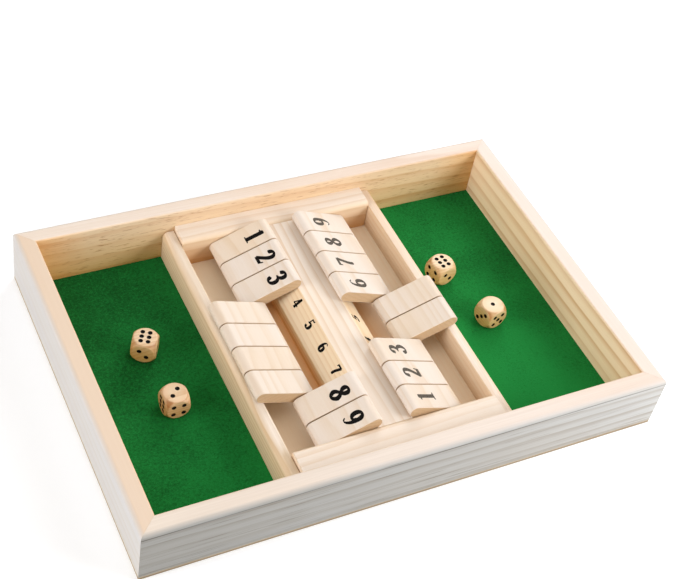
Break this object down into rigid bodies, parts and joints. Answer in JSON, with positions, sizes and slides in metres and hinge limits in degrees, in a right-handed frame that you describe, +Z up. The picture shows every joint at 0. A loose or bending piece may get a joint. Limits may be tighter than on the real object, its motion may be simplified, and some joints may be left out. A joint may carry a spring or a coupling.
{
  "type": "shut the box game",
  "caption": "Open wooden box for two players with felted dice trays at both ends, a raised channel of flip-over number tiles on rods across the middle, and loose dice.",
  "frame": {"origin": "middle of the underside, on the surface the box stands on", "axes": "+X along the long side from one player's dice tray to the other's, +Y across the box along the rods, +Z up"},
  "size_m": [0.35, 0.244, 0.042],
  "materials": {
    "pine": "sanded, unvarnished pine",
    "plywood": "thin plywood, raw edge",
    "tile_wood": "smooth sanded pine, printed numbers",
    "dice_wood": "tumbled, lightly waxed wood",
    "green_felt": "thin pressed felt",
    "steel": "drawn steel wire"
  },
  "bodies": {
    "tray": {"base_board": "plywood", "left_felt": "green_felt", "right_felt": "green_felt", "front_wall": "pine", "back_wall": "pine", "left_wall": "pine", "right_wall": "pine", "channel_board": "pine", "left_divider": "pine", "right_divider": "pine", "back_cleat": "pine", "front_cleat": "pine", "centre_bar": "pine", "left_rod": "steel", "right_rod": "steel"},
    "left_tile_1": {"left_tile_1": "tile_wood"},
    "left_tile_2": {"left_tile_2": "tile_wood"},
    "left_tile_3": {"left_tile_3": "tile_wood"},
    "left_tile_4": {"left_tile_4": "tile_wood"},
    "left_tile_5": {"left_tile_5": "tile_wood"},
    "left_tile_6": {"left_tile_6": "tile_wood"},
    "left_tile_7": {"left_tile_7": "tile_wood"},
    "left_tile_8": {"left_tile_8": "tile_wood"},
    "left_tile_9": {"left_tile_9": "tile_wood"},
    "right_tile_1": {"right_tile_1": "tile_wood"},
    "right_tile_2": {"right_tile_2": "tile_wood"},
    "right_tile_3": {"right_tile_3": "tile_wood"},
    "right_tile_4": {"right_tile_4": "tile_wood"},
    "right_tile_5": {"right_tile_5": "tile_wood"},
    "right_tile_6": {"right_tile_6": "tile_wood"},
    "right_tile_7": {"right_tile_7": "tile_wood"},
    "right_tile_8": {"right_tile_8": "tile_wood"},
    "right_tile_9": {"right_tile_9": "tile_wood"},
    "die_1": {"die_1": "dice_wood"},
    "die_2": {"die_2": "dice_wood"},
    "die_3": {"die_3": "dice_wood"},
    "die_4": {"die_4": "dice_wood"}
  },
  "joints": [
    {"name": "left_tile_1_flip", "type": "hinge", "parent": "tray", "child": "left_tile_1", "pos_m": [-0.0422, 0.08394, 0.021], "axis": [0, -1, 0], "range_deg": [0, 138.6]},
    {"name": "left_tile_2_flip", "type": "hinge", "parent": "tray", "child": "left_tile_2", "pos_m": [-0.0422, 0.06383, 0.021], "axis": [0, -1, 0], "range_deg": [0, 138.6]},
    {"name": "left_tile_3_flip", "type": "hinge", "parent": "tray", "child": "left_tile_3", "pos_m": [-0.0422, 0.04372, 0.021], "axis": [0, -1, 0], "range_deg": [0, 138.6]},
    {"name": "left_tile_4_flip", "type": "hinge", "parent": "tray", "child": "left_tile_4", "pos_m": [-0.0422, 0.02361, 0.021], "axis": [0, 1, 0], "range_deg": [0, 138.6]},
    {"name": "left_tile_5_flip", "type": "hinge", "parent": "tray", "child": "left_tile_5", "pos_m": [-0.0422, 0.0035, 0.021], "axis": [0, 1, 0], "range_deg": [0, 138.6]},
    {"name": "left_tile_6_flip", "type": "hinge", "parent": "tray", "child": "left_tile_6", "pos_m": [-0.0422, -0.01661, 0.021], "axis": [0, 1, 0], "range_deg": [0, 138.6]},
    {"name": "left_tile_7_flip", "type": "hinge", "parent": "tray", "child": "left_tile_7", "pos_m": [-0.0422, -0.03672, 0.021], "axis": [0, 1, 0], "range_deg": [0, 138.6]},
    {"name": "left_tile_8_flip", "type": "hinge", "parent": "tray", "child": "left_tile_8", "pos_m": [-0.0422, -0.05683, 0.021], "axis": [0, -1, 0], "range_deg": [0, 138.6]},
    {"name": "left_tile_9_flip", "type": "hinge", "parent": "tray", "child": "left_tile_9", "pos_m": [-0.0422, -0.07694, 0.021], "axis": [0, -1, 0], "range_deg": [0, 138.6]},
    {"name": "right_tile_1_flip", "type": "hinge", "parent": "tray", "child": "right_tile_1", "pos_m": [0.0422, -0.07694, 0.021], "axis": [0, 1, 0], "range_deg": [0, 138.6]},
    {"name": "right_tile_2_flip", "type": "hinge", "parent": "tray", "child": "right_tile_2", "pos_m": [0.0422, -0.05683, 0.021], "axis": [0, 1, 0], "range_deg": [0, 138.6]},
    {"name": "right_tile_3_flip", "type": "hinge", "parent": "tray", "child": "right_tile_3", "pos_m": [0.0422, -0.03672, 0.021], "axis": [0, 1, 0], "range_deg": [0, 138.6]},
    {"name": "right_tile_4_flip", "type": "hinge", "parent": "tray", "child": "right_tile_4", "pos_m": [0.0422, -0.01661, 0.021], "axis": [0, -1, 0], "range_deg": [0, 138.6]},
    {"name": "right_tile_5_flip", "type": "hinge", "parent": "tray", "child": "right_tile_5", "pos_m": [0.0422, 0.0035, 0.021], "axis": [0, -1, 0], "range_deg": [0, 138.6]},
    {"name": "right_tile_6_flip", "type": "hinge", "parent": "tray", "child": "right_tile_6", "pos_m": [0.0422, 0.02361, 0.021], "axis": [0, 1, 0], "range_deg": [0, 138.6]},
    {"name": "right_tile_7_flip", "type": "hinge", "parent": "tray", "child": "right_tile_7", "pos_m": [0.0422, 0.04372, 0.021], "axis": [0, 1, 0], "range_deg": [0, 138.6]},
    {"name": "right_tile_8_flip", "type": "hinge", "parent": "tray", "child": "right_tile_8", "pos_m": [0.0422, 0.06383, 0.021], "axis": [0, 1, 0], "range_deg": [0, 138.6]},
    {"name": "right_tile_9_flip", "type": "hinge", "parent": "tray", "child": "right_tile_9", "pos_m": [0.0422, 0.08394, 0.021], "axis": [0, 1, 0], "range_deg": [0, 138.6]},
    {"name": "die_1_lift", "type": "slide", "parent": "tray", "child": "die_1", "axis": [0, 0, 1], "range_m": [0, 0.06]},
    {"name": "die_2_lift", "type": "slide", "parent": "tray", "child": "die_2", "axis": [0, 0, 1], "range_m": [0, 0.06]},
    {"name": "die_3_lift", "type": "slide", "parent": "tray", "child": "die_3", "axis": [0, 0, 1], "range_m": [0, 0.06]},
    {"name": "die_4_lift", "type": "slide", "parent": "tray", "child": "die_4", "axis": [0, 0, 1], "range_m": [0, 0.06]}
  ]
}
